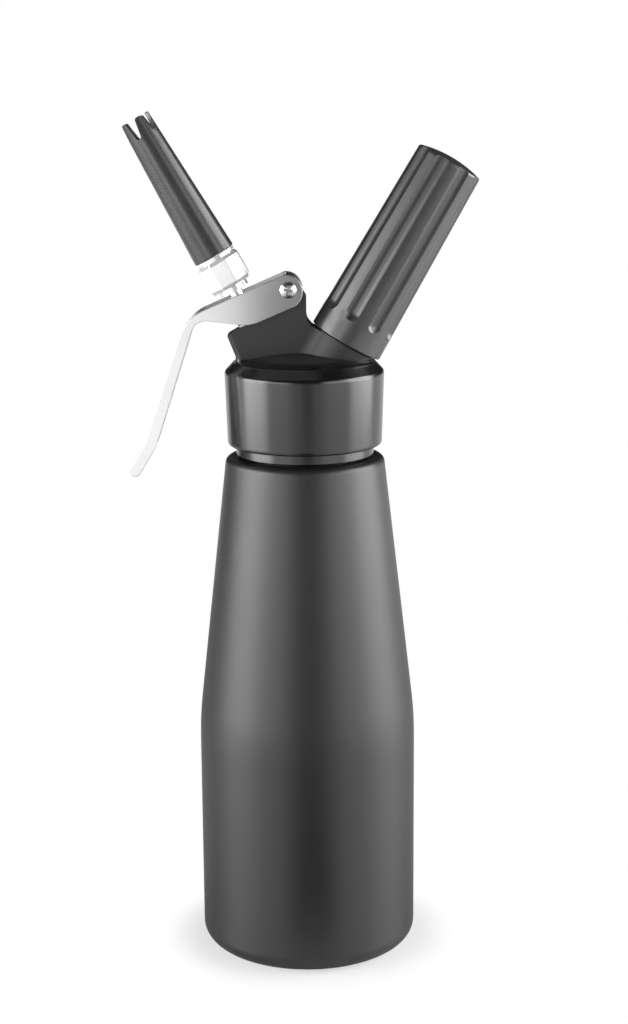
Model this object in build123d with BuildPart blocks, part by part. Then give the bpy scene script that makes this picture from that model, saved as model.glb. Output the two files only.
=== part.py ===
from build123d import *
import os
from math import acos, cos, degrees, pi, radians, sin, sqrt, tan

# A cream whipper: bottle, screw-on head, lever valve with nozzle, and charger holder.
# Millimetres, +Z up. The origin is on the bottle's axis, on the plane it stands on.
# The nozzle leans towards -X and the charger holder towards +X.

# Fits shared by all pieces
running_fit = 0.05
seat_gap = 0.05
free_gap = 0.3

# Bottle
base_radius = 45.0
base_corner = 7.0
foot_inner_radius = 33.0
foot_recess = 3.5
bottle_wall = 2.0
cylinder_height = 97.9
cone_height = 110.9
cone_blend = 150.0
shoulder_radius = 32.35
shoulder_corner = 2.6
neck_root_radius = 25.0
neck_wall = 1.8
neck_height = 28.7
rim_round = 0.6
neck_thread_depth = 0.9
neck_thread_pitch = 4.0
neck_thread_turns = 2.5
neck_thread_below_rim = 3.0

# Head gasket
gasket_thickness = 2.4
gasket_overhang = 0.6

# Head casting: collar skirt and domed roof
collar_top_radius = 32.45
collar_bottom_radius = 31.5
collar_height = 29.8
collar_bottom_round = 1.6
rim_bevel_radius = 28.6
rim_bevel_rise = 4.1
rim_bevel_round = 2.0
dome_rise = 3.9
lip_radius = 28.1
lip_band = 4.0
lip_slope_rise = 0.5
lip_gap = 0.7
lip_round = 0.7
skirt_clearance = 0.5

# Valve axis, which the stem, adapter and nozzle share
valve_tilt = 29.6
valve_axis_below_rim = 9.7

# Charger axis
charger_tilt = 30.2
charger_axis_below_rim = 10.9

# Lever pivot: beside the valve axis and above the block's top
pivot_arm = 19.07
pivot_rise = 3.8
pivot_radius = 2.0

# Lever: a U channel of sheet metal
lever_width = 15.6
lever_sheet = 1.2
lever_slope = 23.4
lever_squeeze = 12.0
web_offset = 6.3
cheek_drop = 6.95
cheek_end_reach = 5.55
web_end_reach = 0.9
web_length = 42.2
handle_lean = 19.0
handle_length = 54.0
handle_depth = 4.7
handle_bend = 19.0
kick_lean = 32.0
kick_length = 11.5
kick_bend = 25.0
belly_reach = 19.8
belly_round = 14.0
heel_reach = 38.9
heel_drop = 2.1
heel_round = 6.0
tip_closure = 1.6

# Block of the head, between the lever's cheeks
washer_thickness = 0.4
block_top = 42.2
block_left = 11.7
block_foot_reach = 27.7
block_foot_rise = 2.4
block_end_round = 2.2
block_edge_round = 0.6
crown_radius = 4.1
tower_reach = 7.15
tower_top_drop = 3.1
tower_top_round = 3.0
tower_foot_round = 2.0
tower_flare_round = 5.0
tower_flare_rise = 2.8
gusset_reach = 2.0
gusset_drop = 0.5

# Valve, along its axis
stem_radius = 2.8
stem_bore = 1.7
stem_tail_radius = 2.0
port_radius = 1.1
seat_height = 11.0
seat_bore = 3.9
seat_boss_radius = 6.6
disc_radius = 5.2
disc_thickness = 2.4
valve_seal_thickness = 1.75
gland_floor = 18.0
o_ring_wire = 1.9
sleeve_radius = 4.9
sleeve_guide_length = 9.6
pocket_radius = 4.25
sleeve_flange_radius = 6.1
sleeve_flange_thickness = 0.8
sleeve_seal_thickness = 0.8
push_collar_radius = 5.2
push_collar_crown = 14.0
push_collar_thickness = 2.2
spring_wire = 0.9
spring_turns = 7.0

# Adapter and nozzle
spigot_radius = 6.15
spigot_start = 56.2
adapter_start = 58.4
adapter_end = 70.5
adapter_flats = 17.3
adapter_edge_round = 0.9
adapter_chamfer = 1.4
adapter_groove_radius = 7.4
adapter_ring_radius = 8.3
adapter_ring_start = 71.1
adapter_ring_end = 71.9
stem_end = 66.5
adapter_seal_thickness = 1.0
adapter_bore = 4.4
nozzle_thread_radius = 6.4
nozzle_thread_length = 8.6
nozzle_seal_thickness = 0.3
nozzle_base_radius = 8.7
nozzle_tip_radius = 6.15
nozzle_end = 134.3
nozzle_edge_round = 0.5
nozzle_throat = 5.6
nozzle_mouth = 4.6
prong_count = 5
prong_slot_foot = 2.3
prong_slot_mouth = 4.5
prong_slot_depth = 8.0
prong_tip_round = 1.1
prong_slot_turn = -17.0

# Pivot hardware
screw_head_radius = 3.35
screw_head_height = 1.9
screw_cross_width = 0.9
screw_cross_length = 3.8
screw_cross_depth = 1.0
screw_cross_turn = -12.0
nut_radius = 3.8
nut_thickness = 2.4
washer_radius = 3.9

# Charger fitting, along the charger axis
boss_radius = 13.2
boss_blend = 6.5
boss_top = 33.2
fitting_thread_radius = 10.8
fitting_thread_length = 13.8
root_thread_radius = 8.0
root_thread_length = 7.0
check_spigot_radius = 4.0
check_spigot_length = 7.7
check_chamber_radius = 6.0
gas_exit_radius = 2.5
gas_bore = 0.9
side_hole_rise = 3.0
side_hole_radius = 0.6
check_sleeve_wall = 0.9
check_sleeve_length = 5.0
fitting_seal_radius = 10.2
fitting_seal_thickness = 0.8
neck_pocket_radius = 4.9
neck_pocket_depth = 5.5
charger_gasket_thickness = 2.3
pin_base_radius = 1.45
pin_base_length = 6.5
needle_radius = 0.8
needle_reach = 3.4
needle_point = 1.3
needle_bore = 0.35

# Gas charger
charger_length = 65.6
charger_radius = 8.95
charger_wall = 1.3
charger_neck_radius = 4.4
charger_neck_length = 7.6
charger_shoulder_length = 9.0
charger_hole = 1.5

# Charger holder
holder_gap = 0.6
holder_length = 82.3
holder_base_radius = 15.45
holder_top_radius = 13.95
holder_top_round = 1.2
holder_crown = 2.0
holder_base_round = 0.5
flute_count = 9
flute_turn = -16.4
flute_inset = 7.8
flute_radius = 4.6
flute_depth = 1.35
insert_wall = 1.9
insert_length = 13.2
insert_recess = 0.5


# Section planes: sketch x is the radius, sketch y runs along the axis
def leaning_section(height, lean):
    """Vertical section plane whose y axis leans by the given angle towards +X."""
    return Plane(
        origin=(0, 0, height),
        x_dir=(cos(radians(lean)), 0, -sin(radians(lean))),
        z_dir=(0, -1, 0),
    )


shoulder_height = cylinder_height + cone_height
rim_height = shoulder_height + neck_height
upright_section = Plane.XZ
valve_section = leaning_section(rim_height - valve_axis_below_rim, -valve_tilt)
charger_section = leaning_section(rim_height - charger_axis_below_rim, charger_tilt)


def axis_of(section):
    return Axis(section.origin, section.y_dir)


def across(section, distance):
    """Plane square to a section's axis, at a distance along it."""
    return Plane(
        origin=section.origin + section.y_dir * distance,
        x_dir=section.x_dir,
        z_dir=section.y_dir,
    )


def front_point(section, radius, distance):
    """Front view (x, z) of a point given by its place on a leaning section."""
    point = section.from_local_coords(Vector(radius, distance, 0))
    return (point.X, point.Z)


def turned(section, points):
    """Solid of revolution of a closed outline about the section's axis."""
    with BuildPart() as solid:
        with BuildSketch(section):
            with BuildLine():
                Polyline(*points, close=True)
            make_face()
        revolve(axis=axis_of(section))
    return solid.part


def turned_ring(section, inner, outer, start, end):
    return turned(section, [(inner, start), (outer, start), (outer, end), (inner, end)])


def round_ring(section, radius, distance, wire):
    """Ring of round section, such as an O-ring."""
    with BuildPart() as solid:
        with BuildSketch(section):
            with Locations((radius, distance)):
                Circle(wire / 2)
        revolve(axis=axis_of(section))
    return solid.part


def helix_points(section, radius, start, rise, turns):
    """Points and tangents of a right-hand helix, four to a turn."""
    points = []
    tangents = []
    for quarter in range(int(turns * 4) + 1):
        turn = (quarter + 0.5) * pi / 2
        local = Vector(radius * cos(turn), start + rise * quarter / 4, -radius * sin(turn))
        slope = Vector(-radius * sin(turn), rise / (2 * pi), -radius * cos(turn)).normalized()
        points.append(section.from_local_coords(local))
        tangents.append(section.from_local_coords(slope) - section.origin)
    return points, tangents


def biarc_path(points, tangents):
    """Smooth path of two tangent arcs between each pair of points."""
    for here, there, leaving, arriving in zip(points, points[1:], tangents, tangents[1:]):
        step = there - here
        spread = 2 * (1 - leaving.dot(arriving))
        along = step.dot(leaving + arriving)
        reach = (sqrt(along**2 + spread * step.dot(step)) - along) / spread
        middle = (here + leaving * reach + there - arriving * reach) / 2
        turning = ((there - arriving * reach) - (here + leaving * reach)).normalized()
        TangentArc(here, middle, tangent=leaving)
        TangentArc(middle, there, tangent=turning)


def wound_tube(section, radius, start, rise, turns, wire):
    """One unbroken tube wound about the section's axis."""
    points, tangents = helix_points(section, radius, start, rise, turns)
    with BuildPart() as tube:
        with BuildLine():
            biarc_path(points, tangents)
        with BuildSketch(Plane(origin=points[0], z_dir=tangents[0])):
            Circle(wire / 2)
        sweep()
    return tube.part


def least_gap(radius, rise, turns, wire):
    """Least clear distance between the turns of a wound tube, measured on points."""
    steps = 36
    count = int(turns * steps)
    path = [
        Vector(radius * cos(2 * pi * k / steps), radius * sin(2 * pi * k / steps), rise * k / steps)
        for k in range(count + 1)
    ]
    return min(
        (path[far] - path[near]).length
        for near in range(count)
        for far in range(near + steps // 2, min(near + 2 * steps, count + 1))
    ) - wire


# Bottle
neck_crest_radius = neck_root_radius + neck_thread_depth
neck_bore = neck_root_radius - neck_wall
cone_angle = degrees(acos(
    cone_height
    / sqrt(cone_height**2 + (base_radius - shoulder_radius) ** 2)
))
cone_wall = bottle_wall / cos(radians(cone_angle))
inner_cone_start = cylinder_height - bottle_wall * tan(radians(cone_angle / 2))
inner_shoulder = shoulder_height - bottle_wall
inner_shoulder_radius = (
    shoulder_radius + bottle_wall * tan(radians(cone_angle)) - cone_wall
)

with BuildPart() as bottle:
    with BuildSketch(upright_section):
        with BuildLine():
            Polyline(
                (0, 0),
                (base_radius, 0),
                (base_radius, cylinder_height),
                (shoulder_radius, shoulder_height),
                (neck_root_radius, shoulder_height),
                (neck_root_radius, rim_height),
                (0, rim_height),
                close=True,
            )
        make_face()
        fillet(vertices().sort_by_distance((base_radius, 0))[0], base_corner)
        fillet(vertices().sort_by_distance((base_radius, cylinder_height))[0], cone_blend)
        fillet(vertices().sort_by_distance((shoulder_radius, shoulder_height))[0], shoulder_corner)
        fillet(vertices().sort_by_distance((neck_root_radius, rim_height))[0], rim_round)
    revolve(axis=Axis.Z)
    add(wound_tube(
        upright_section,
        neck_root_radius,
        rim_height - neck_thread_below_rim - neck_thread_turns * neck_thread_pitch,
        neck_thread_pitch,
        neck_thread_turns,
        2 * neck_thread_depth,
    ))
    with BuildSketch(upright_section):
        with BuildLine():
            floor_top = foot_recess + bottle_wall
            TangentArc((0, floor_top), (foot_inner_radius, bottle_wall), tangent=(1, 0))
            Polyline(
                (foot_inner_radius, bottle_wall),
                (base_radius - bottle_wall, bottle_wall),
                (base_radius - bottle_wall, inner_cone_start),
                (inner_shoulder_radius, inner_shoulder),
                (neck_bore, inner_shoulder),
                (neck_bore, rim_height),
                (0, rim_height),
                (0, floor_top),
            )
        make_face()
        fillet(
            vertices().sort_by_distance((base_radius - bottle_wall, bottle_wall))[0],
            base_corner - bottle_wall,
        )
        fillet(
            vertices().sort_by_distance((inner_shoulder_radius, inner_shoulder))[0],
            shoulder_corner - bottle_wall,
        )
    revolve(axis=Axis.Z, mode=Mode.SUBTRACT)
    with BuildSketch(upright_section):
        with BuildLine():
            Line((0, 0), (foot_inner_radius, 0))
            Line((0, 0), (0, foot_recess))
            TangentArc((0, foot_recess), (foot_inner_radius, 0), tangent=(1, 0))
        make_face()
    revolve(axis=Axis.Z, mode=Mode.SUBTRACT)

# Head gasket, between the bottle's rim and the head's ceiling
gasket_bottom = rim_height + seat_gap
gasket_top = gasket_bottom + gasket_thickness
head_gasket = turned_ring(
    upright_section,
    neck_bore - gasket_overhang,
    neck_root_radius + gasket_overhang,
    gasket_bottom,
    gasket_top,
)

# Lever and stem travel, on the valve section: distance from the axis and height along it
pivot_height = block_top + pivot_rise
pivot_x, pivot_z = front_point(valve_section, pivot_arm, pivot_height)
rest_lean = valve_tilt - lever_slope


def web_height(offset, lean):
    """Height on the valve axis of a line at an offset above the pivot."""
    return pivot_height + offset / cos(radians(lean)) + pivot_arm * tan(radians(lean))


web_under = web_height(web_offset - lever_sheet, rest_lean)
stem_stroke = web_under - web_height(web_offset - lever_sheet, rest_lean - lever_squeeze)
crown_centre = web_under - (push_collar_crown + free_gap) / cos(radians(rest_lean))
push_collar_bottom = crown_centre + push_collar_crown - push_collar_thickness
push_collar_edge = crown_centre + sqrt(push_collar_crown**2 - push_collar_radius**2)

# Valve stations along the axis
sleeve_bottom = gland_floor + o_ring_wire
pocket_floor = sleeve_bottom + sleeve_guide_length
sleeve_flange_bottom = block_top + sleeve_seal_thickness
sleeve_top = sleeve_flange_bottom + sleeve_flange_thickness
valve_seal_top = seat_height - seat_gap
valve_seal_bottom = valve_seal_top - valve_seal_thickness
disc_bottom = valve_seal_bottom - disc_thickness

# Head block, a flat-sided slab that carries the valve and the lever's pivot
block_width = lever_width - 2 * lever_sheet - 2 * (washer_thickness + seat_gap)
ceiling_height = gasket_top + seat_gap
skirt_bottom = shoulder_height + lip_gap
block_root = ceiling_height
pivot_front = Vector(pivot_x, pivot_z)


def crown_tangent(point, side):
    """Where a line from a point touches the crown round the pivot."""
    reach = Vector(*point) - pivot_front
    turn = degrees(acos(crown_radius / reach.length)) * side
    return pivot_front + reach.normalized().rotate(Axis.Z, turn) * crown_radius


collar_bottom = skirt_bottom + lip_band + lip_slope_rise
collar_shoulder = collar_bottom + collar_height
rim_bevel_height = collar_shoulder + rim_bevel_rise
dome_height = rim_bevel_height + dome_rise
block_corner = front_point(valve_section, -block_left, block_top)
tower_foot = front_point(valve_section, stem_radius + crown_radius, block_top)
gusset_top = boss_top - gusset_drop
gusset_tip = front_point(charger_section, -boss_radius - gusset_reach, gusset_top)
gusset_root = front_point(charger_section, -boss_radius / 2, gusset_top)
tower_right_x = pivot_x + tower_reach
tower_right_top = (tower_right_x, pivot_z - tower_top_drop)
tower_flare = (tower_right_x, gusset_tip[1] + tower_flare_rise)
block_waist = (-block_foot_reach, rim_bevel_height + block_foot_rise)

with BuildPart() as block:
    with BuildSketch(upright_section):
        with BuildLine():
            Polyline(
                block_corner,
                tower_foot,
                crown_tangent(tower_foot, -1),
                crown_tangent(tower_right_top, 1),
                tower_right_top,
                tower_flare,
                gusset_tip,
                gusset_root,
                (gusset_root[0], block_root),
                (-block_foot_reach, block_root),
                block_waist,
                close=True,
            )
        make_face()
        fillet(vertices().sort_by_distance(tower_flare)[0], tower_flare_round)
        fillet(vertices().sort_by_distance(tower_right_top)[0], tower_top_round)
        fillet(vertices().sort_by_distance(tower_foot)[0], tower_foot_round)
        with Locations((pivot_x, pivot_z)):
            Circle(crown_radius)
    extrude(amount=block_width / 2, both=True)
    end_edges = edges().filter_by(
        lambda edge: edge.center().X < 0.1 - block_foot_reach
        and abs(edge.center().Y) > block_width / 2 - 0.1
    )
    fillet(end_edges, block_end_round)
    flat_sides = faces().filter_by(Axis.Y).filter_by(lambda face: abs(face.center().Y) > block_width / 4)
    raised_edges = flat_sides.edges().filter_by(lambda edge: edge.bounding_box().max.Z > dome_height)
    fillet(raised_edges, block_edge_round)

# Head casting: collar, dome, block and charger boss in one
skirt_bore = neck_crest_radius + skirt_clearance
check_spigot_end = boss_top - root_thread_length - check_spigot_length

# Hollow blend that leads the block's flat sides into the round boss
blend_centre_width = block_width / 2 + boss_blend
blend_reach = sqrt((boss_radius + boss_blend) ** 2 - blend_centre_width**2)
blend_share = boss_radius / (boss_radius + boss_blend)
blend_depth = blend_reach * blend_share
blend_half_width = blend_centre_width * blend_share

with BuildPart() as head_casting:
    with BuildSketch(upright_section):
        with BuildLine():
            Polyline(
                (0, dome_height),
                (0, skirt_bottom),
                (lip_radius, skirt_bottom),
                (lip_radius, skirt_bottom + lip_band),
                (collar_bottom_radius, collar_bottom),
                (collar_top_radius, collar_shoulder),
                (rim_bevel_radius, rim_bevel_height),
            )
            TangentArc((0, dome_height), (rim_bevel_radius, rim_bevel_height), tangent=(1, 0))
        make_face()
        fillet(vertices().sort_by_distance((lip_radius, skirt_bottom))[0], lip_round)
        fillet(
            vertices().sort_by_distance((collar_bottom_radius, collar_bottom))[0],
            collar_bottom_round,
        )
        fillet(
            vertices().sort_by_distance((collar_top_radius, collar_shoulder))[0],
            rim_bevel_round,
        )
        fillet(vertices().sort_by_distance((rim_bevel_radius, rim_bevel_height))[0], rim_bevel_round)
    revolve(axis=Axis.Z)
    add(block.part)
    with BuildSketch(across(charger_section, check_spigot_end)):
        Circle(boss_radius)
    extrude(amount=boss_top - check_spigot_end)
    with BuildSketch(across(charger_section, check_spigot_end)):
        with BuildLine():
            TangentArc((-blend_reach, -block_width / 2), (-blend_depth, -blend_half_width), tangent=(1, 0))
            Line((-blend_depth, -blend_half_width), (-blend_depth, blend_half_width))
            TangentArc((-blend_reach, block_width / 2), (-blend_depth, blend_half_width), tangent=(1, 0))
            Line((-blend_reach, block_width / 2), (-blend_reach, -block_width / 2))
        make_face()
    extrude(amount=gusset_top - check_spigot_end)
    add(turned_ring(upright_section, 0, skirt_bore, skirt_bottom, ceiling_height), mode=Mode.SUBTRACT)
    with BuildSketch(across(valve_section, seat_height)):
        Circle(seat_boss_radius)
    extrude(amount=gland_floor - seat_height)
    add(
        turned(
            valve_section,
            [
                (0, seat_height),
                (seat_bore, seat_height),
                (seat_bore, gland_floor),
                (sleeve_radius + running_fit, gland_floor),
                (sleeve_radius + running_fit, block_top + crown_radius),
                (0, block_top + crown_radius),
            ],
        ),
        mode=Mode.SUBTRACT,
    )
    add(
        turned(
            charger_section,
            [
                (0, check_spigot_end - check_chamber_radius),
                (gas_exit_radius, check_spigot_end - check_chamber_radius),
                (gas_exit_radius, check_spigot_end - seat_gap),
                (check_chamber_radius, check_spigot_end - seat_gap),
                (check_chamber_radius, boss_top - root_thread_length),
                (root_thread_radius + running_fit, boss_top - root_thread_length),
                (root_thread_radius + running_fit, boss_top - fitting_seal_thickness),
                (fitting_seal_radius + running_fit, boss_top - fitting_seal_thickness),
                (fitting_seal_radius + running_fit, boss_top),
                (0, boss_top),
            ],
        ),
        mode=Mode.SUBTRACT,
    )
    with BuildSketch(upright_section):
        with Locations((pivot_x, pivot_z)):
            Circle(pivot_radius + running_fit)
    extrude(amount=lever_width, both=True, mode=Mode.SUBTRACT)

# Lever: side outline, hollowed to a channel, with a stem slot and a pivot hole
slope_along = Vector(cos(radians(lever_slope)), sin(radians(lever_slope)))
slope_up = Vector(-sin(radians(lever_slope)), cos(radians(lever_slope)))
handle_down = Vector(-sin(radians(handle_lean)), -cos(radians(handle_lean)))
handle_in = Vector(cos(radians(handle_lean)), -sin(radians(handle_lean)))
kick_down = Vector(-sin(radians(kick_lean)), -cos(radians(kick_lean)))
kick_in = Vector(cos(radians(kick_lean)), -sin(radians(kick_lean)))
handle_top = pivot_front + slope_up * web_offset - slope_along * web_length
kick_turn = radians(kick_lean - handle_lean)


def lever_outline(sheet, tail):
    """Outer line of the lever moved in by a sheet thickness, and its tail shortened."""
    corner_shift = tan(radians((90 - lever_slope - handle_lean) / 2)) * sheet
    top = pivot_front + slope_up * (web_offset - sheet)
    corner = handle_top + handle_in * sheet + handle_down * corner_shift
    kick = handle_top + handle_down * handle_length + handle_in * sheet
    kick = kick + handle_down * (tan(kick_turn / 2) * sheet)
    end = kick + kick_down * (kick_length - tail)
    return top, corner, kick, end


outer_top, outer_corner, outer_kick, outer_end = lever_outline(0, 0)
web_end = outer_top + slope_along * web_end_reach
inner_kick = outer_kick + handle_in * handle_depth
inner_end = outer_end + kick_in * handle_depth
tip_middle = (outer_end + inner_end) / 2 + kick_down * (handle_depth / 2)
cheek_end = pivot_front + slope_along * cheek_end_reach - slope_up * (cheek_drop - web_offset) / 2
cheek_low = pivot_front - slope_up * cheek_drop
cheek_belly = cheek_low - slope_along * belly_reach
cheek_heel = pivot_front + slope_up * (web_offset - heel_drop) - slope_along * heel_reach

with BuildPart() as lever:
    with BuildSketch(upright_section):
        with BuildLine():
            Polyline(web_end, outer_corner, outer_kick, outer_end)
            ThreePointArc(outer_end, tip_middle, inner_end)
            Polyline(inner_end, inner_kick, cheek_heel, cheek_belly, cheek_low)
            ThreePointArc(cheek_low, cheek_end, web_end)
        make_face()
        fillet(vertices().sort_by_distance(outer_corner)[0], handle_bend)
        fillet(vertices().sort_by_distance(outer_kick)[0], kick_bend)
        fillet(vertices().sort_by_distance(inner_kick)[0], kick_bend - handle_depth)
        fillet(vertices().sort_by_distance(cheek_heel)[0], heel_round)
        fillet(vertices().sort_by_distance(cheek_belly)[0], belly_round)
    extrude(amount=lever_width / 2, both=True)
    channel_top, channel_corner, channel_kick, channel_end = lever_outline(lever_sheet, tip_closure)
    with BuildSketch(upright_section):
        with BuildLine():
            beyond = slope_along * (2 * cheek_end_reach)
            below = handle_in * lever_width
            Polyline(
                channel_top + beyond,
                channel_corner,
                channel_kick,
                channel_end,
                channel_end + kick_in * lever_width,
                channel_kick + below,
                channel_top + beyond - slope_up * (2 * lever_width),
                close=True,
            )
        make_face()
        fillet(vertices().sort_by_distance(channel_corner)[0], handle_bend - lever_sheet)
        fillet(vertices().sort_by_distance(channel_kick)[0], kick_bend - lever_sheet)
    extrude(amount=lever_width / 2 - lever_sheet, both=True, mode=Mode.SUBTRACT)
    with BuildSketch(upright_section):
        with BuildLine():
            Polyline(
                web_end + slope_up,
                web_end + slope_up + beyond,
                web_end - slope_up * (cheek_drop + web_offset) + beyond,
                web_end - slope_up * (cheek_drop + web_offset),
                close=True,
            )
        make_face()
    extrude(amount=lever_width / 2 - lever_sheet, both=True, mode=Mode.SUBTRACT)
    web_plane = Plane(
        origin=(outer_top.X, 0, outer_top.Y),
        x_dir=(slope_along.X, 0, slope_along.Y),
        z_dir=(slope_up.X, 0, slope_up.Y),
    )
    slot_width = 2 * (stem_radius + 1.5 * free_gap)
    slot_near = (pivot_arm - web_offset * sin(radians(rest_lean))) / cos(radians(rest_lean))
    slot_far = pivot_arm + web_offset * sin(radians(lever_squeeze - rest_lean))
    with BuildSketch(web_plane):
        with Locations((-(slot_near + slot_far) / 2, 0)):
            SlotOverall(slot_width + slot_far - slot_near + free_gap, slot_width)
    extrude(amount=lever_sheet * 2, both=True, mode=Mode.SUBTRACT)
    with BuildSketch(upright_section):
        with Locations((pivot_x, pivot_z)):
            Circle(pivot_radius + running_fit)
    extrude(amount=lever_width, both=True, mode=Mode.SUBTRACT)

# Valve stem: hollow, with side ports, a crowned push collar under the lever and a tail for the disc
with BuildPart() as valve_stem:
    with BuildSketch(valve_section):
        with BuildLine():
            Polyline(
                (0, disc_bottom),
                (stem_tail_radius, disc_bottom),
                (stem_tail_radius, valve_seal_top),
                (stem_radius, valve_seal_top),
                (stem_radius, push_collar_bottom),
                (push_collar_radius, push_collar_bottom),
                (push_collar_radius, push_collar_edge),
            )
            crown_top = crown_centre + sqrt(push_collar_crown**2 - stem_radius**2)
            crown_middle_radius = (push_collar_radius + stem_radius) / 2
            crown_middle = crown_centre + sqrt(push_collar_crown**2 - crown_middle_radius**2)
            ThreePointArc(
                (push_collar_radius, push_collar_edge),
                (crown_middle_radius, crown_middle),
                (stem_radius, crown_top),
            )
            Polyline(
                (stem_radius, crown_top),
                (stem_radius, stem_end),
                (stem_bore, stem_end),
                (stem_bore, seat_height + port_radius),
                (0, seat_height + port_radius),
                (0, disc_bottom),
            )
        make_face()
    revolve(axis=axis_of(valve_section))
    port_height = seat_height + 3 * port_radius
    for port_plane in (
        Plane(valve_section.origin + valve_section.y_dir * port_height, z_dir=valve_section.x_dir),
        Plane(valve_section.origin + valve_section.y_dir * port_height, z_dir=valve_section.z_dir),
    ):
        with BuildSketch(port_plane):
            Circle(port_radius)
        extrude(amount=2 * stem_radius, both=True, mode=Mode.SUBTRACT)

valve_disc = turned(
    valve_section,
    [
        (stem_tail_radius + running_fit, disc_bottom),
        (disc_radius - disc_thickness / 3, disc_bottom),
        (disc_radius, disc_bottom + disc_thickness / 3),
        (disc_radius, valve_seal_bottom),
        (stem_tail_radius + running_fit, valve_seal_bottom),
    ],
)
valve_seal = turned_ring(
    valve_section,
    stem_tail_radius + running_fit,
    disc_radius - running_fit,
    valve_seal_bottom,
    valve_seal_top,
)

# Packing ring trapped under the valve sleeve
o_ring_radius = stem_radius + running_fit + o_ring_wire / 2
stem_o_ring = round_ring(valve_section, o_ring_radius, gland_floor + o_ring_wire / 2, o_ring_wire)

# Valve sleeve: guides the stem, holds the spring and ends in a flange on the block
valve_sleeve = turned(
    valve_section,
    [
        (stem_radius + running_fit, sleeve_bottom),
        (sleeve_radius, sleeve_bottom),
        (sleeve_radius, sleeve_flange_bottom),
        (sleeve_flange_radius, sleeve_flange_bottom),
        (sleeve_flange_radius, sleeve_top),
        (pocket_radius, sleeve_top),
        (pocket_radius, pocket_floor),
        (stem_radius + running_fit, pocket_floor),
    ],
)
sleeve_seal = turned_ring(
    valve_section,
    sleeve_radius + running_fit,
    sleeve_flange_radius - running_fit,
    block_top,
    sleeve_flange_bottom,
)

# Valve spring, wound between the sleeve's floor and the push collar
spring_radius = (stem_radius + pocket_radius) / 2
spring_bottom = pocket_floor + spring_wire / 2 + seat_gap
spring_rise = (push_collar_bottom - spring_wire / 2 - seat_gap - spring_bottom) / spring_turns
valve_spring = wound_tube(
    valve_section, spring_radius, spring_bottom, spring_rise, spring_turns, spring_wire
)

# Nozzle adapter: a spigot over the lever, eight flats, a ring and a threaded top
adapter_seal_top = stem_end + adapter_seal_thickness
thread_end = adapter_ring_end + nozzle_thread_length
flats_to_corners = 1 / cos(pi / 8)

with BuildPart() as nozzle_adapter:
    with BuildSketch(across(valve_section, adapter_start)):
        RegularPolygon(adapter_flats / 2 * flats_to_corners, 8, rotation=22.5)
        fillet(vertices(), adapter_edge_round)
    extrude(amount=adapter_end - adapter_start)
    end_faces = faces().filter_by(Plane(valve_section.origin, z_dir=valve_section.y_dir))
    chamfer(end_faces.edges(), adapter_chamfer, adapter_chamfer * 0.6)
    for radius, start, end in (
        (spigot_radius, spigot_start, adapter_start + adapter_chamfer),
        (adapter_groove_radius, adapter_end - adapter_chamfer, adapter_ring_start),
        (adapter_ring_radius, adapter_ring_start, adapter_ring_end),
        (nozzle_thread_radius, adapter_ring_end, thread_end),
    ):
        with BuildSketch(across(valve_section, start)):
            Circle(radius)
        extrude(amount=end - start)
    add(
        turned(
            valve_section,
            [
                (0, spigot_start),
                (stem_radius + running_fit, spigot_start),
                (stem_radius + running_fit, adapter_seal_top),
                (stem_bore, adapter_seal_top),
                (adapter_bore, adapter_seal_top + adapter_bore),
                (adapter_bore, thread_end),
                (0, thread_end),
            ],
        ),
        mode=Mode.SUBTRACT,
    )

adapter_seal = turned_ring(valve_section, stem_bore, stem_radius, stem_end, adapter_seal_top)

# Washer that the nozzle is screwed down on
nozzle_seal_bottom = adapter_ring_end + seat_gap
nozzle_start = nozzle_seal_bottom + nozzle_seal_thickness + seat_gap
nozzle_seal = turned_ring(
    valve_section,
    nozzle_thread_radius + free_gap,
    adapter_ring_radius,
    nozzle_seal_bottom,
    nozzle_start - seat_gap,
)

# Decorating nozzle: hollow cone with a slotted tip
socket_radius = nozzle_thread_radius + free_gap
socket_end = thread_end + 2 * free_gap

with BuildPart() as nozzle:
    with BuildSketch(valve_section):
        with BuildLine():
            Polyline(
                (socket_radius, nozzle_start),
                (nozzle_base_radius, nozzle_start),
                (nozzle_tip_radius, nozzle_end),
                (nozzle_mouth, nozzle_end),
                (nozzle_throat, socket_end),
                (socket_radius, socket_end),
                close=True,
            )
        make_face()
        fillet(vertices().sort_by_distance((nozzle_base_radius, nozzle_start))[0], nozzle_edge_round)
        fillet(vertices().sort_by_distance((nozzle_tip_radius, nozzle_end))[0], nozzle_edge_round)
    revolve(axis=axis_of(valve_section))
    slot_floor = nozzle_end - prong_slot_depth + prong_slot_foot / 2
    slot_corner = (prong_slot_mouth / 2, nozzle_end)
    slot_top = nozzle_end + prong_tip_round
    slot_flare = prong_slot_mouth / 2 + 2 * prong_tip_round
    for slot in range(prong_count):
        slot_angle = prong_slot_turn + slot * 360 / prong_count
        outward = valve_section.x_dir * sin(radians(slot_angle)) + valve_section.z_dir * cos(
            radians(slot_angle)
        )
        slot_plane = Plane(
            origin=valve_section.origin,
            x_dir=valve_section.y_dir.cross(outward),
            z_dir=outward,
        )
        with BuildSketch(slot_plane):
            with Locations((0, slot_floor)):
                Circle(prong_slot_foot / 2)
            with BuildLine():
                Polyline(
                    (-prong_slot_foot / 2, slot_floor),
                    (prong_slot_foot / 2, slot_floor),
                    slot_corner,
                    (slot_flare, nozzle_end),
                    (slot_flare, slot_top),
                    (-slot_flare, slot_top),
                    (-slot_flare, nozzle_end),
                    (-slot_corner[0], nozzle_end),
                    close=True,
                )
            make_face()
            for mouth_side in (-1, 1):
                mouth_corner = (mouth_side * slot_corner[0], nozzle_end)
                fillet(vertices().sort_by_distance(mouth_corner)[0], prong_tip_round)
        extrude(amount=nozzle_base_radius, mode=Mode.SUBTRACT)

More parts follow.
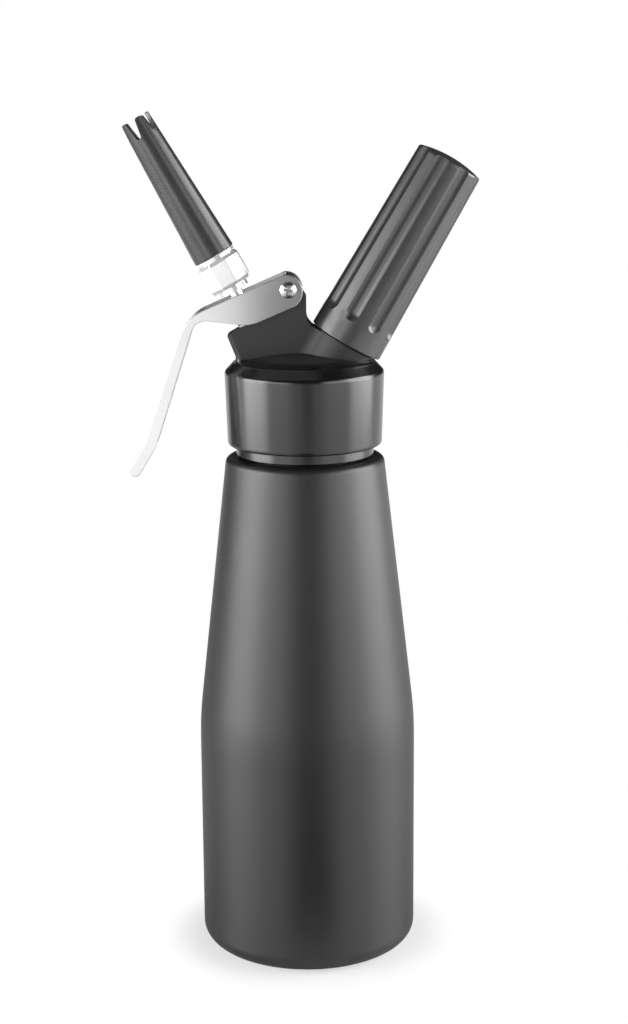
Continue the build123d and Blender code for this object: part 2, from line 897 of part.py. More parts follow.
# Pivot screw, with a domed head and a cross recess, its nut and two washers
screw_seat = lever_width / 2 + seat_gap
pivot_section = Plane(origin=(pivot_x, 0, pivot_z), x_dir=(1, 0, 0), z_dir=(0, 0, 1))

with BuildPart() as pivot_screw:
    with BuildSketch(pivot_section):
        with BuildLine():
            Polyline(
                (0, -screw_seat - screw_head_height),
                (0, screw_seat + nut_thickness),
                (pivot_radius, screw_seat + nut_thickness),
                (pivot_radius, -screw_seat),
                (screw_head_radius, -screw_seat),
                (screw_head_radius, -screw_seat - screw_head_height / 3),
            )
            TangentArc(
                (0, -screw_seat - screw_head_height),
                (screw_head_radius, -screw_seat - screw_head_height / 3),
                tangent=(1, 0),
            )
        make_face()
    revolve(axis=Axis((pivot_x, 0, pivot_z), (0, 1, 0)))
    recess_depth = screw_seat + screw_head_height - screw_cross_depth
    with BuildSketch(upright_section.offset(recess_depth)):
        with Locations((pivot_x, pivot_z)):
            Rectangle(screw_cross_length, screw_cross_width, rotation=screw_cross_turn)
            Rectangle(screw_cross_width, screw_cross_length, rotation=screw_cross_turn)
    extrude(amount=2 * screw_cross_depth, mode=Mode.SUBTRACT)

with BuildPart() as pivot_nut:
    with BuildSketch(upright_section.offset(-screw_seat)):
        with Locations((pivot_x, pivot_z)):
            RegularPolygon(nut_radius, 6)
            Circle(pivot_radius + running_fit, mode=Mode.SUBTRACT)
    extrude(amount=-nut_thickness)

with BuildPart() as pivot_washers:
    for washer_face in (block_width / 2 + washer_thickness, -block_width / 2):
        with BuildSketch(upright_section.offset(washer_face)):
            with Locations((pivot_x, pivot_z)):
                Circle(washer_radius)
                Circle(pivot_radius + running_fit, mode=Mode.SUBTRACT)
        extrude(amount=-washer_thickness)

# Charger fitting: threaded nipple with a neck pocket, a gas bore and side holes
fitting_top = boss_top + fitting_thread_length
neck_pocket_floor = fitting_top - neck_pocket_depth
side_hole_height = check_spigot_end + side_hole_rise
pin_seat = neck_pocket_floor - pin_base_length + charger_gasket_thickness / 4

with BuildPart() as charger_fitting:
    add(turned(
        charger_section,
        [
            (0, check_spigot_end),
            (check_spigot_radius, check_spigot_end),
            (check_spigot_radius, boss_top - root_thread_length),
            (root_thread_radius, boss_top - root_thread_length),
            (root_thread_radius, boss_top),
            (fitting_thread_radius, boss_top),
            (fitting_thread_radius, fitting_top),
            (neck_pocket_radius, fitting_top),
            (neck_pocket_radius, neck_pocket_floor),
            (pin_base_radius + running_fit, neck_pocket_floor),
            (pin_base_radius + running_fit, pin_seat),
            (gas_bore, pin_seat),
            (gas_bore, side_hole_height - gas_bore),
            (0, side_hole_height - gas_bore),
        ],
    ))
    with BuildSketch(Plane(
        charger_section.origin + charger_section.y_dir * side_hole_height,
        z_dir=charger_section.z_dir,
    )):
        Circle(side_hole_radius)
    extrude(amount=check_chamber_radius, both=True, mode=Mode.SUBTRACT)

fitting_seal = turned_ring(
    charger_section,
    root_thread_radius + running_fit,
    fitting_seal_radius,
    boss_top - fitting_seal_thickness,
    boss_top,
)
check_sleeve = turned_ring(
    charger_section,
    check_spigot_radius + running_fit,
    check_spigot_radius + running_fit + check_sleeve_wall,
    side_hole_height - check_sleeve_length / 2,
    side_hole_height + check_sleeve_length / 2,
)

# Gasket and piercing pin in the neck pocket
charger_gasket_top = neck_pocket_floor + charger_gasket_thickness
charger_start = charger_gasket_top + seat_gap
needle_end = charger_start + needle_reach
charger_gasket = turned_ring(
    charger_section,
    pin_base_radius + free_gap,
    neck_pocket_radius - running_fit,
    neck_pocket_floor,
    charger_gasket_top,
)
piercing_pin = turned(
    charger_section,
    [
        (needle_bore, pin_seat),
        (pin_base_radius, pin_seat),
        (pin_base_radius, pin_seat + pin_base_length),
        (needle_radius, pin_seat + pin_base_length),
        (needle_radius, needle_end - needle_point),
        (needle_bore + running_fit, needle_end),
        (needle_bore, needle_end),
    ],
)

# Gas charger: closed steel flask, its neck pierced by the needle
charger_end = charger_start + charger_length
charger_shoulder = charger_start + charger_neck_length
charger_body_start = charger_shoulder + charger_shoulder_length
charger_round = charger_end - charger_radius
charger_inside = charger_radius - charger_wall
charger_throat = charger_neck_radius - charger_wall

with BuildPart() as gas_charger:
    with BuildSketch(charger_section):
        with BuildLine():
            Polyline(
                (charger_hole, charger_start),
                (charger_neck_radius, charger_start),
                (charger_neck_radius, charger_shoulder),
                (charger_radius, charger_body_start),
                (charger_radius, charger_round),
            )
            RadiusArc((charger_radius, charger_round), (0, charger_end), -charger_radius)
            Line((0, charger_end), (0, charger_end - charger_wall))
            RadiusArc((0, charger_end - charger_wall), (charger_inside, charger_round), charger_inside)
            Polyline(
                (charger_inside, charger_round),
                (charger_inside, charger_body_start),
                (charger_throat, charger_shoulder),
                (charger_throat, charger_start + needle_reach),
                (charger_hole, charger_start + needle_reach),
                (charger_hole, charger_start),
            )
        make_face()
    revolve(axis=axis_of(charger_section))

# Charger holder: a fluted grip with a threaded ring in its mouth
holder_start = boss_top + holder_gap
holder_end = holder_start + holder_length
insert_bore = fitting_thread_radius + free_gap
insert_radius = insert_bore + insert_wall
insert_start = holder_start + insert_recess
insert_end = insert_start + insert_length
holder_bore = charger_radius + 1.5 * free_gap
holder_bore_end = charger_end + free_gap
holder_slope = (holder_base_radius - holder_top_radius) / holder_length
holder_insert = turned_ring(charger_section, insert_bore, insert_radius, insert_start, insert_end)

# Ball-ended cutter for one flute, laid along the grip's slanted side
flute_floor = flute_inset + flute_radius
flute_centre = holder_base_radius - holder_slope * flute_floor - flute_depth + flute_radius
flute_side = charger_section.x_dir * sin(radians(flute_turn))
flute_side = flute_side + charger_section.z_dir * cos(radians(flute_turn))
flute_along = (charger_section.y_dir - flute_side * holder_slope).normalized()
flute_across = flute_along.cross(flute_side).normalized()
flute_middle = charger_section.y_dir * (holder_start + flute_floor) + flute_side * flute_centre

with BuildPart() as flute_cutter:
    flute_section = Plane(
        origin=charger_section.origin + flute_middle,
        x_dir=flute_across,
        z_dir=flute_across.cross(flute_along),
    )
    with BuildSketch(flute_section):
        with BuildLine():
            ThreePointArc(
                (0, -flute_radius),
                (flute_radius * sin(pi / 4), -flute_radius * cos(pi / 4)),
                (flute_radius, 0),
            )
            Polyline((flute_radius, 0), (flute_radius, holder_length), (0, holder_length), (0, -flute_radius))
        make_face()
    revolve(axis=axis_of(flute_section))

with BuildPart() as holder_grip:
    with BuildSketch(charger_section):
        with BuildLine():
            Polyline(
                (0, holder_end + holder_crown),
                (0, holder_start),
                (holder_base_radius, holder_start),
                (holder_top_radius, holder_end),
            )
            TangentArc((0, holder_end + holder_crown), (holder_top_radius, holder_end), tangent=(1, 0))
        make_face()
        fillet(vertices().sort_by_distance((holder_base_radius, holder_start))[0], holder_base_round)
        fillet(vertices().sort_by_distance((holder_top_radius, holder_end))[0], holder_top_round)
    revolve(axis=axis_of(charger_section))
    with BuildSketch(charger_section):
        with BuildLine():
            Polyline(
                (0, holder_start),
                (insert_radius + running_fit, holder_start),
                (insert_radius + running_fit, insert_end),
                (holder_bore, insert_end),
                (holder_bore, holder_bore_end - holder_bore),
            )
            RadiusArc(
                (holder_bore, holder_bore_end - holder_bore), (0, holder_bore_end), -holder_bore
            )
            Line((0, holder_bore_end), (0, holder_start))
        make_face()
    revolve(axis=axis_of(charger_section), mode=Mode.SUBTRACT)
    for flute in range(flute_count):
        turned_cutter = flute_cutter.part.rotate(axis_of(charger_section), flute * 360 / flute_count)
        add(turned_cutter, mode=Mode.SUBTRACT)

pieces = {
    "bottle": bottle.part,
    "head_gasket": head_gasket,
    "head_casting": head_casting.part,
    "lever": lever.part,
    "pivot_screw": pivot_screw.part,
    "pivot_nut": pivot_nut.part,
    "pivot_washers": pivot_washers.part,
    "valve_stem": valve_stem.part,
    "valve_disc": valve_disc,
    "valve_seal": valve_seal,
    "stem_o_ring": stem_o_ring,
    "valve_sleeve": valve_sleeve,
    "sleeve_seal": sleeve_seal,
    "valve_spring": valve_spring,
    "nozzle_adapter": nozzle_adapter.part,
    "adapter_seal": adapter_seal,
    "nozzle_seal": nozzle_seal,
    "nozzle": nozzle.part,
    "charger_fitting": charger_fitting.part,
    "fitting_seal": fitting_seal,
    "check_sleeve": check_sleeve,
    "piercing_pin": piercing_pin,
    "charger_gasket": charger_gasket,
    "gas_charger": gas_charger.part,
    "holder_insert": holder_insert,
    "holder_grip": holder_grip.part,
}

os.makedirs("parts", exist_ok=True)
for name, piece in pieces.items():
    piece.label = name
    export_step(piece, f"parts/{name}.step")

print("stem stroke", round(stem_stroke, 3), "mm for", lever_squeeze, "degrees")
spring_gap = least_gap(spring_radius, spring_rise, spring_turns, spring_wire)
print("least gap of the spring to itself", round(spring_gap, 2), "mm")
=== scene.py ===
import math

import bpy
from mathutils import Matrix, Vector


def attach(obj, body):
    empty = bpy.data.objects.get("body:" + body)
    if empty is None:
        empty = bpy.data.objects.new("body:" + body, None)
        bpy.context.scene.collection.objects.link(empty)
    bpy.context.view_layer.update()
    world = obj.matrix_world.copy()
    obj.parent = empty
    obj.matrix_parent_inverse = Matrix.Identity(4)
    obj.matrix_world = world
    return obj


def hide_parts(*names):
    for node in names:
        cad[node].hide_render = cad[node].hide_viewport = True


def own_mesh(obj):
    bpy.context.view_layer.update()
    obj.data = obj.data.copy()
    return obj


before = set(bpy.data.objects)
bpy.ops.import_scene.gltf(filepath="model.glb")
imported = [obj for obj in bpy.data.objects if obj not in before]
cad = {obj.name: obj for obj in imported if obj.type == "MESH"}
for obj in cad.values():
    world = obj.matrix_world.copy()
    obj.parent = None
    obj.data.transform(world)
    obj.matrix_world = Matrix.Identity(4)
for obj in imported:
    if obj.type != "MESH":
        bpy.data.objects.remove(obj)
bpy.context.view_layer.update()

scene = bpy.context.scene

# Axes of the slanted pieces, as in the CAD source, in metres
VALVE_ORIGIN = Vector((0.0, 0.0, 0.2278))
VALVE_TILT = math.radians(-29.6)
VALVE_AXIS = Vector((math.sin(VALVE_TILT), 0.0, math.cos(VALVE_TILT)))
CHARGER_TILT = math.radians(30.2)

# A colour mix node has several sockets of one name, so its colour sockets are picked by number
MIX_FIRST, MIX_SECOND, MIX_RESULT = 6, 7, 2

# Roughness of each noise, the range that most of its values lie in, and a range from none to all
NOISE_ROUGHNESS = 0.55
NOISE_RANGE = (0.3, 0.7)
WHOLE_RANGE = (0.0, 1.0)


class Graph:
    """A node tree that is built up from nothing."""

    def __init__(self, tree):
        tree.nodes.clear()
        self.tree = tree

    def feed(self, socket, value):
        """Links an input to another node's output, or sets it to a number, a vector or a colour."""
        if isinstance(value, bpy.types.NodeSocket):
            self.tree.links.new(value, socket)
        else:
            socket.default_value = value

    def add(self, kind, inputs=None, **settings):
        """A new node with its settings, and with its inputs fed by name or number."""
        node = self.tree.nodes.new(kind)
        for key, value in settings.items():
            setattr(node, key, value)
        for key, value in (inputs or {}).items():
            self.feed(node.inputs[key], value)
        return node

    def math(self, operation, *values):
        node = self.add("ShaderNodeMath", dict(enumerate(values)), operation=operation)
        return node.outputs["Value"]

    def spread(self, value, to_range, from_range=NOISE_RANGE, steps="LINEAR"):
        """A value moved from one range to another."""
        inputs = {"Value": value}
        inputs["From Min"], inputs["From Max"] = from_range
        inputs["To Min"], inputs["To Max"] = to_range
        return self.add("ShaderNodeMapRange", inputs, interpolation_type=steps).outputs["Result"]

    def blend(self, share, first, second):
        """A colour between two, by a share."""
        inputs = {"Factor": share, MIX_FIRST: first, MIX_SECOND: second}
        return self.add("ShaderNodeMix", inputs, data_type="RGBA").outputs[MIX_RESULT]

    def mix_shaders(self, share, first, second):
        """A shader between two, by a share."""
        return self.add("ShaderNodeMixShader", {"Fac": share, 1: first, 2: second}).outputs["Shader"]

    def own_place(self):
        """Coordinates of the object that wears the material, in metres."""
        return self.add("ShaderNodeTexCoord").outputs["Object"]

    def rays(self):
        """Two switches: one for camera rays, one for rays that a surface mirrors or lets through."""
        path = self.add("ShaderNodeLightPath").outputs
        mirrored = self.math("MAXIMUM", path["Is Glossy Ray"], path["Is Transmission Ray"])
        return path["Is Camera Ray"], mirrored


def new_material(name):
    material = bpy.data.materials.new(name)
    material.use_nodes = True
    return material


# Bevel rays for soft edges, and the cosine of the softened normal on an edge and away from it
EDGE_SAMPLES = 6
EDGE_COSINES = (0.80, 0.995)


class Finish(Graph):
    """A material with one shader, fed by noise that rides with the piece."""

    def __init__(self, name, metallic=0.0, specular=0.5, tilt=0.0):
        self.material = new_material(name)
        super().__init__(self.material.node_tree)
        basics = {"Metallic": metallic, "Specular IOR Level": specular}
        self.shader = self.add("ShaderNodeBsdfPrincipled", basics)
        self.add("ShaderNodeOutputMaterial", {"Surface": self.shader.outputs["BSDF"]})
        turn = {"Vector": self.own_place(), "Rotation": (0.0, -tilt, 0.0)}
        self.place = self.add("ShaderNodeMapping", turn).outputs["Vector"]
        self.normal = None

    def stretched(self, across, along):
        """Coordinates scaled apart across and along the piece's axis, for turned or drawn marks."""
        inputs = {"Vector": self.place, "Scale": (across, across, along)}
        return self.add("ShaderNodeMapping", inputs).outputs["Vector"]

    def height(self):
        return self.add("ShaderNodeSeparateXYZ", {"Vector": self.place}).outputs["Z"]

    def noise(self, scale, detail=3.0, place=None, seed=0.0):
        inputs = {"Vector": place or self.place, "W": seed}
        inputs.update({"Scale": scale, "Detail": detail, "Roughness": NOISE_ROUGHNESS})
        return self.add("ShaderNodeTexNoise", inputs, noise_dimensions="4D").outputs["Fac"]

    def clouds(self, colours, scale, detail, seed=0.0):
        """A colour that drifts between two."""
        share = self.spread(self.noise(scale, detail, seed=seed), WHOLE_RANGE)
        return self.blend(share, *colours)

    def colour(self, socket):
        self.feed(self.shader.inputs["Base Color"], socket)

    def roughness(self, socket):
        self.feed(self.shader.inputs["Roughness"], socket)

    def soft_edges(self, radius):
        """Rounds the sharp edges by their normals, and says how near an edge is."""
        bevel = self.add("ShaderNodeBevel", {"Radius": radius}, samples=EDGE_SAMPLES)
        self.normal = bevel.outputs["Normal"]
        flat = self.add("ShaderNodeNewGeometry").outputs["Normal"]
        dot = self.add("ShaderNodeVectorMath", {0: self.normal, 1: flat}, operation="DOT_PRODUCT")
        return self.spread(dot.outputs["Value"], (1.0, 0.0), EDGE_COSINES)

    def bump(self, value, strength, distance):
        """Gives the shader its normals: the bumps, on top of soft edges if there are any."""
        inputs = {"Height": value, "Strength": strength, "Distance": distance}
        if self.normal:
            inputs["Normal"] = self.normal
        bumps = self.add("ShaderNodeBump", inputs)
        self.feed(self.shader.inputs["Normal"], bumps.outputs["Normal"])


def scaled(colour, share):
    red, green, blue, alpha = colour
    return (red * share, green * share, blue * share, alpha)


def grey(level):
    return (level, level, level, 1.0)


def tones(level, share):
    """Two greys, darker and lighter than a level by a share of it."""
    return scaled(grey(level), 1.0 - share), scaled(grey(level), 1.0 + share)


# Depth of the bumps in metres: marks and coatings, then moulded or rubbery grain
FINE_BUMP, GRAIN_BUMP = 0.00002, 0.00003

# Coating: drift of its tone, how far specks show and at which noise, and how pale they are
COAT_DRIFT = 0.15
SPECK_SHARE, SPECK_NOISE = (0.0, 0.5), (0.6, 0.8)
SPECK_PALER = 1.8
COAT_BUMP_STRENGTH = 0.25


def coating(name, tone, roughness, specular, rougher_top=None):
    """Black coating on metal: faint clouds and specks in a smooth skin; the top may be rougher."""
    finish = Finish(name, specular=specular)
    base = finish.clouds(tones(tone, COAT_DRIFT), scale=34.0, detail=4.0)
    speck = finish.noise(scale=700.0, detail=2.0, seed=3.0)
    speck_share = finish.spread(speck, SPECK_SHARE, SPECK_NOISE)
    finish.colour(finish.blend(speck_share, base, scaled(grey(tone), SPECK_PALER)))
    skin = finish.spread(finish.noise(scale=26.0, seed=5.0), roughness)
    if rougher_top:
        heights, rougher = rougher_top
        rise = finish.spread(finish.height(), (0.0, rougher), heights, "SMOOTHSTEP")
        skin = finish.math("ADD", skin, rise)
    finish.roughness(skin)
    finish.bump(finish.noise(scale=900.0, detail=2.0, seed=1.0), COAT_BUMP_STRENGTH, FINE_BUMP)
    return finish.material


PLASTIC_DRIFT = 0.12


def plastic(name, tone, roughness, specular, grain, strength, tilt=0.0):
    """Moulded plastic with a fine spark-eroded grain."""
    finish = Finish(name, specular=specular, tilt=tilt)
    finish.colour(finish.clouds(tones(tone, PLASTIC_DRIFT), scale=60.0, detail=3.0))
    finish.roughness(finish.spread(finish.noise(scale=110.0, seed=4.0), roughness))
    finish.bump(finish.noise(scale=grain, detail=2.0, seed=2.0), strength, GRAIN_BUMP)
    return finish.material


# Metal: noise range of its marks, usual radius of its edges, and the painted shade and roughening on
# them
MARK_RANGE = (0.25, 0.75)
FINE_EDGE = 0.0002
PLAIN_EDGE = (1.0, 0.0)


def metal(
    name, colours, roughness, marks, depth, tilt=0.0, edge=FINE_EDGE, edge_shade_and_rough=PLAIN_EDGE, metallic=1.0
):
    """Bare metal with marks drawn or turned one way; its soft edges can carry painted shade and be
    rougher.
    """
    finish = Finish(name, metallic=metallic, tilt=tilt)
    painted_edge_shade, edge_rough = edge_shade_and_rough
    near_edge = finish.soft_edges(edge)
    skin = finish.clouds(colours, scale=48.0, detail=4.0, seed=6.0)
    # Near the soft edges the colour goes darker: painted shade along the edges
    finish.colour(finish.blend(near_edge, skin, scaled(colours[0], painted_edge_shade)))
    lines = finish.noise(scale=1.0, place=finish.stretched(*marks))
    edge_wear = finish.math("MULTIPLY", near_edge, edge_rough)
    finish.roughness(finish.math("ADD", finish.spread(lines, roughness, MARK_RANGE), edge_wear))
    finish.bump(lines, depth, FINE_BUMP)
    return finish.material


SOFT_SPECULAR = 0.35
SOFT_BUMP_STRENGTH = 0.15


def soft(name, colours, roughness):
    """Silicone or rubber with a dull, faintly mottled skin."""
    finish = Finish(name, specular=SOFT_SPECULAR)
    finish.colour(finish.clouds(colours, scale=140.0, detail=4.0))
    finish.roughness(finish.spread(finish.noise(scale=320.0, seed=2.0), roughness))
    finish.bump(finish.noise(scale=900.0, detail=2.0, seed=9.0), SOFT_BUMP_STRENGTH, GRAIN_BUMP)
    return finish.material


bottle_paint = coating("matt_black_coating", tone=0.003, roughness=(0.42, 0.45), specular=0.70)

# The head's collar and dome are smooth, and above these heights its cast block and boss are rougher
CAST_HEIGHTS = (0.2488, 0.2500)
CAST_ROUGHER = 0.38
head_paint = coating(
    "satin_black_coating",
    tone=0.003,
    roughness=(0.22, 0.24),
    specular=0.72,
    rougher_top=(CAST_HEIGHTS, CAST_ROUGHER),
)

nozzle_plastic = plastic(
    "satin_black_plastic",
    tone=0.032,
    roughness=(0.24, 0.27),
    specular=0.60,
    grain=250.0,
    strength=0.03,
    tilt=VALVE_TILT,
)
grip_plastic = plastic(
    "soft_black_plastic",
    tone=0.022,
    roughness=(0.31, 0.35),
    specular=0.95,
    grain=1100.0,
    strength=0.3,
    tilt=CHARGER_TILT,
)
white_plastic = plastic(
    "white_plastic", tone=0.78, roughness=(0.38, 0.46), specular=0.5, grain=900.0, strength=0.2
)

sheet_steel = metal(
    "polished_sheet_steel",
    colours=(grey(0.91), grey(0.95)),
    roughness=(0.12, 0.15),
    marks=(60.0, 60.0),
    depth=0.03,
    edge=0.0005,
    # Painted shade: the lever's edges are darkened to 0.55 of its tone to stand in for the grey bands
    # and outlines that light leaves there; they are also rougher
    edge_shade_and_rough=(0.55, 0.4),
)
screw_steel = metal(
    "polished_screw_steel",
    colours=(grey(0.44), grey(0.54)),
    roughness=(0.24, 0.32),
    marks=(300.0, 300.0),
    depth=0.04,
)
turned_steel = metal(
    "turned_steel",
    colours=(grey(0.90), grey(0.94)),
    roughness=(0.10, 0.14),
    marks=(60.0, 2600.0),
    depth=0.03,
    tilt=VALVE_TILT,
    metallic=0.6,
)
pin_steel = metal(
    "ground_pin_steel",
    colours=(grey(0.60), grey(0.70)),
    roughness=(0.16, 0.26),
    marks=(80.0, 4200.0),
    depth=0.08,
    tilt=CHARGER_TILT,
)
wire_steel = metal(
    "drawn_spring_steel",
    colours=((0.50, 0.50, 0.52, 1.0), (0.62, 0.61, 0.60, 1.0)),
    roughness=(0.22, 0.34),
    marks=(900.0, 900.0),
    depth=0.06,
)
can_steel = metal(
    "plated_charger_steel",
    colours=((0.60, 0.61, 0.62, 1.0), grey(0.70)),
    roughness=(0.20, 0.32),
    marks=(420.0, 26.0),
    depth=0.08,
    tilt=CHARGER_TILT,
)
# The brass tones are darker than bare brass: painted shade, so the brass shows dark in the gap between
# holder and boss
brass = metal(
    "turned_brass",
    colours=((0.22, 0.155, 0.07, 1.0), (0.28, 0.20, 0.09, 1.0)),
    roughness=(0.28, 0.38),
    marks=(60.0, 4600.0),
    depth=0.08,
    tilt=CHARGER_TILT,
)

silicone = soft(
    "pale_silicone",
    colours=((0.66, 0.66, 0.63, 1.0), (0.76, 0.76, 0.73, 1.0)),
    roughness=(0.40, 0.56),
)
rubber = soft("dark_rubber", colours=(grey(0.016), grey(0.030)), roughness=(0.52, 0.68))

finishes = {
    bottle_paint: ["bottle"],
    head_paint: ["head_casting"],
    nozzle_plastic: ["nozzle", "valve_sleeve"],
    grip_plastic: ["holder_grip"],
    white_plastic: ["pivot_washers"],
    sheet_steel: ["lever"],
    screw_steel: ["pivot_screw", "pivot_nut"],
    turned_steel: ["valve_stem", "valve_disc", "nozzle_adapter"],
    pin_steel: ["piercing_pin"],
    wire_steel: ["valve_spring"],
    can_steel: ["gas_charger"],
    brass: ["charger_fitting", "holder_insert"],
    silicone: ["head_gasket", "sleeve_seal", "nozzle_seal", "check_sleeve"],
    rubber: ["valve_seal", "stem_o_ring", "adapter_seal", "fitting_seal", "charger_gasket"],
}
for material, names in finishes.items():
    for name in names:
        cad[name].data.materials.clear()
        cad[name].data.materials.append(material)


def new_object(name, points, faces, material):
    """A mesh object in the scene, made of one material."""
    mesh = bpy.data.meshes.new(name)
    mesh.from_pydata(points, [], faces)
    mesh.materials.append(material)
    made = bpy.data.objects.new(name, mesh)
    scene.collection.objects.link(made)
    return made


# Valve spring, wound between the ends of the CAD spring at that length; the real one shortens as the
# stem goes in
WIRE_RADIUS = 0.00045
WIRE_SIDES = 12
SPRING_RADIUS = 0.003525
SPRING_TURNS = 7
SPRING_START = math.pi / 4
STEPS_PER_TURN = 40
SPRING_STEPS = SPRING_TURNS * STEPS_PER_TURN
FULL_TURN = 2 * math.pi


def spring_ends():
    """How far along the valve's axis the CAD spring starts and ends."""
    vertices = cad["valve_spring"].data.vertices
    reach = [(vertex.co - VALVE_ORIGIN).dot(VALVE_AXIS) for vertex in vertices]
    return min(reach), max(reach)


def wire_points(start, end):
    """Rings of points round a wire whose centre winds about the valve's axis."""
    side = Vector((0.0, 1.0, 0.0))
    front = side.cross(VALVE_AXIS)
    points = []
    for step in range(SPRING_STEPS + 1):
        turn = SPRING_START + FULL_TURN * step / STEPS_PER_TURN
        outward = front * math.cos(turn) + side * math.sin(turn)
        along = start + (end - start) * step / SPRING_STEPS
        centre = VALVE_ORIGIN + VALVE_AXIS * along + outward * SPRING_RADIUS
        for corner in range(WIRE_SIDES):
            angle = FULL_TURN * corner / WIRE_SIDES
            spoke = outward * math.cos(angle) + VALVE_AXIS * math.sin(angle)
            points.append(centre + spoke * WIRE_RADIUS)
    return points


def wire_faces():
    """Four-sided faces from ring to ring, then a flat face at each end of the wire."""
    faces = []
    for step in range(SPRING_STEPS):
        near = step * WIRE_SIDES
        far = near + WIRE_SIDES
        for corner in range(WIRE_SIDES):
            after = (corner + 1) % WIRE_SIDES
            faces.append((near + corner, far + corner, far + after, near + after))
    last = SPRING_STEPS * WIRE_SIDES
    faces.append(tuple(range(WIRE_SIDES)))
    faces.append(tuple(last + corner for corner in reversed(range(WIRE_SIDES))))
    return faces


foot, head = spring_ends()
spring_points = wire_points(foot + WIRE_RADIUS, head - WIRE_RADIUS)
spring = new_object("wound_spring", spring_points, wire_faces(), wire_steel)
smooth_sides = [polygon.loop_total < WIRE_SIDES for polygon in spring.data.polygons]
spring.data.polygons.foreach_set("use_smooth", smooth_sides)
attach(spring, "head")
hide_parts("valve_spring")
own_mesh(spring)


# Stage: a pale floor that turns plain white away from the object, with cards and a mat round it
WHITE_STRENGTH = 1.0
FLOOR_SIZE = 24.0
FLOOR_COLOUR = 0.70
FLOOR_ROUGHNESS = 0.18

# Distances from the middle over which the floor turns white, to the camera and in reflections
SEEN_FADE, SEEN_LEAST = (0.044, 0.064), 0.58
MIRRORED_FADE, MIRRORED_LEAST = (0.60, 0.90), 0.0


def stage_plane(name, corners, material):
    plane = new_object(name, corners, [(0, 1, 2, 3)], material)
    return plane


def floor_material():
    """Matt floor that is satin in reflections, and white further off."""
    material = new_material("pale_floor")
    graph = Graph(material.node_tree)
    colour = grey(FLOOR_COLOUR)
    matt = graph.add("ShaderNodeBsdfDiffuse", {"Color": colour})
    satin = graph.add("ShaderNodeBsdfPrincipled", {"Base Color": colour, "Roughness": FLOOR_ROUGHNESS})
    white = graph.add("ShaderNodeEmission", {"Strength": WHITE_STRENGTH})
    reach = graph.add("ShaderNodeVectorMath", {0: graph.own_place()}, operation="LENGTH")
    seen, mirrored = graph.rays()
    fades = ((seen, SEEN_FADE, SEEN_LEAST), (mirrored, MIRRORED_FADE, MIRRORED_LEAST))
    white_share = 0.0
    for ray, fade, least in fades:
        faded = graph.spread(reach.outputs["Value"], (least, 1.0), fade, "SMOOTHSTEP")
        white_share = graph.math("MULTIPLY_ADD", faded, ray, white_share)
    ground = graph.mix_shaders(mirrored, matt.outputs["BSDF"], satin.outputs["BSDF"])
    surface = graph.mix_shaders(white_share, ground, white.outputs["Emission"])
    graph.add("ShaderNodeOutputMaterial", {"Surface": surface})
    return material


def matt_material(name, level):
    material = new_material(name)
    graph = Graph(material.node_tree)
    matt = graph.add("ShaderNodeBsdfDiffuse", {"Color": grey(level)})
    graph.add("ShaderNodeOutputMaterial", {"Surface": matt.outputs["BSDF"]})
    return material


def hidden_card(name, corners, level):
    """A matt card that the camera itself doesn't see, but that reflections show."""
    card = stage_plane(name, corners, matt_material(name, level))
    card.visible_camera = False
    return card


def upright_card(name, start, end, foot, top, level):
    """A hidden card that stands over a line between two places on the floor."""
    hidden_card(name, [(*end, foot), (*start, foot), (*start, top), (*end, top)], level)


half = FLOOR_SIZE / 2
floor_corners = [(-half, -half, 0), (half, -half, 0), (half, half, 0), (-half, half, 0)]
stage_plane("floor", floor_corners, floor_material())

# A dark screen behind the camera, a dark flag to the left at the back, and a pale card at the back
DARK = 0.12
PALE = 0.85
upright_card("dark_screen", start=(-0.055, -1.0), end=(0.22, -1.0), foot=0.0, top=0.62, level=DARK)
upright_card("dark_flag", start=(-0.83, 0.34), end=(-0.55, 0.71), foot=0.0, top=0.62, level=DARK)
upright_card("pale_card", start=(-0.52, 1.6), end=(-0.10, 1.6), foot=0.36, top=0.64, level=PALE)

# A dark mat on the floor before the base, wider towards the camera, which casts no shadow
MAT_LEVEL = 0.05
MAT_HEIGHT = 0.0005
MAT_BACK, MAT_BACK_SIDES = -0.085, (-0.030, 0.045)
MAT_FRONT, MAT_FRONT_SIDES = -0.55, (-0.10, 0.125)
mat_corners = [
    (MAT_BACK_SIDES[0], MAT_BACK, MAT_HEIGHT),
    (MAT_FRONT_SIDES[0], MAT_FRONT, MAT_HEIGHT),
    (MAT_FRONT_SIDES[1], MAT_FRONT, MAT_HEIGHT),
    (MAT_BACK_SIDES[1], MAT_BACK, MAT_HEIGHT),
]
mat = hidden_card("dark_mat", mat_corners, MAT_LEVEL)
mat.visible_diffuse = False
mat.visible_shadow = False

# World: white to the camera, a dark room in reflections, a low even fill for other rays
FILL = 0.08
ROOM = 0.02


def make_world():
    world = bpy.data.worlds.new("studio")
    world.use_nodes = True
    scene.world = world
    graph = Graph(world.node_tree)
    lights = []
    for strength in (FILL, ROOM, WHITE_STRENGTH):
        light = graph.add("ShaderNodeBackground", {"Color": grey(1.0), "Strength": strength})
        lights.append(light.outputs["Background"])
    fill, room, white = lights
    seen, mirrored = graph.rays()
    surroundings = graph.mix_shaders(mirrored, fill, room)
    surface = graph.mix_shaders(seen, surroundings, white)
    graph.add("ShaderNodeOutputWorld", {"Surface": surface})


make_world()

# Soft lamps: bright strips at both sides, dimmer panels towards the camera, a dim one above
LAMP_AIM = Vector((0.0, 0.0, 0.20))
WATTS_PER_GLOW = 4.0


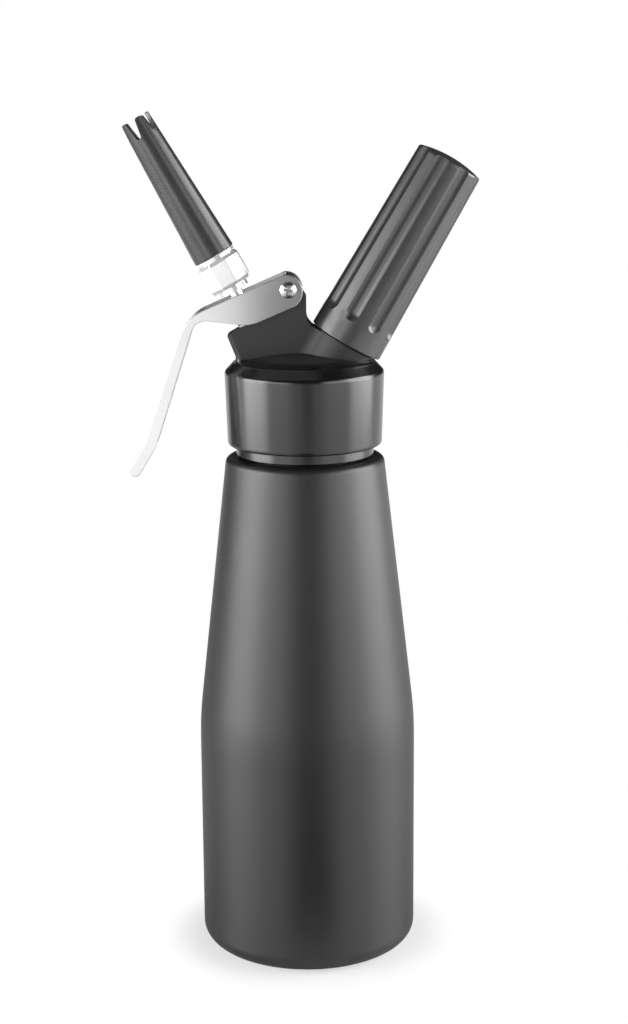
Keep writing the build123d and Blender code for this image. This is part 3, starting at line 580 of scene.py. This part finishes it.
def lamp(name, azimuth, distance, height, width, tall, glow):
    """Area lamp at an azimuth from the camera's side, facing the object; glow is its brightness."""
    light = bpy.data.lights.new(name, "AREA")
    light.shape = "RECTANGLE"
    light.size = width
    light.size_y = tall
    light.energy = glow * WATTS_PER_GLOW * width * tall
    angle = math.radians(azimuth)
    place = Vector((math.sin(angle) * distance, -math.cos(angle) * distance, height))
    holder = bpy.data.objects.new(name, light)
    holder.location = place
    holder.rotation_euler = (LAMP_AIM - place).to_track_quat("-Z", "Y").to_euler()
    holder.visible_camera = False
    scene.collection.objects.link(holder)


lamp("strip_left", azimuth=-76.0, distance=0.95, height=0.375, width=0.76, tall=0.75, glow=5.6)
lamp("strip_right", azimuth=91.0, distance=0.95, height=0.475, width=0.88, tall=0.95, glow=5.3)
lamp("panel_left", azimuth=-36.0, distance=1.25, height=0.36, width=0.72, tall=0.65, glow=2.35)
lamp("panel_right", azimuth=46.0, distance=1.25, height=0.46, width=0.80, tall=0.85, glow=2.3)
lamp("top", azimuth=-90.0, distance=0.25, height=1.2, width=0.75, tall=1.0, glow=0.25)

# Camera at the photograph's place: it looks down a little, with the picture's slight lean
FOCAL_PIXELS = 1985.0
LONG_SIDE_PIXELS = 1024.0
SENSOR = 36.0
CLIP_START = 0.01
CAMERA_PLACE = Vector((0.00089, -0.8000, 0.3608))
LEVEL = 90.0
CAMERA_DIP = 12.405
CAMERA_YAW = -0.1813
CAMERA_ROLL = -0.4819

lens = bpy.data.cameras.new("camera")
lens.sensor_width = SENSOR
lens.lens = SENSOR * FOCAL_PIXELS / LONG_SIDE_PIXELS
lens.clip_start = CLIP_START
camera = bpy.data.objects.new("camera", lens)
camera.matrix_world = (
    Matrix.Translation(CAMERA_PLACE)
    @ Matrix.Rotation(math.radians(LEVEL - CAMERA_DIP), 4, "X")
    @ Matrix.Rotation(math.radians(CAMERA_YAW), 4, "Y")
    @ Matrix.Rotation(math.radians(CAMERA_ROLL), 4, "Z")
)
scene.collection.objects.link(camera)
scene.camera = camera
scene.view_settings.view_transform = "Standard"
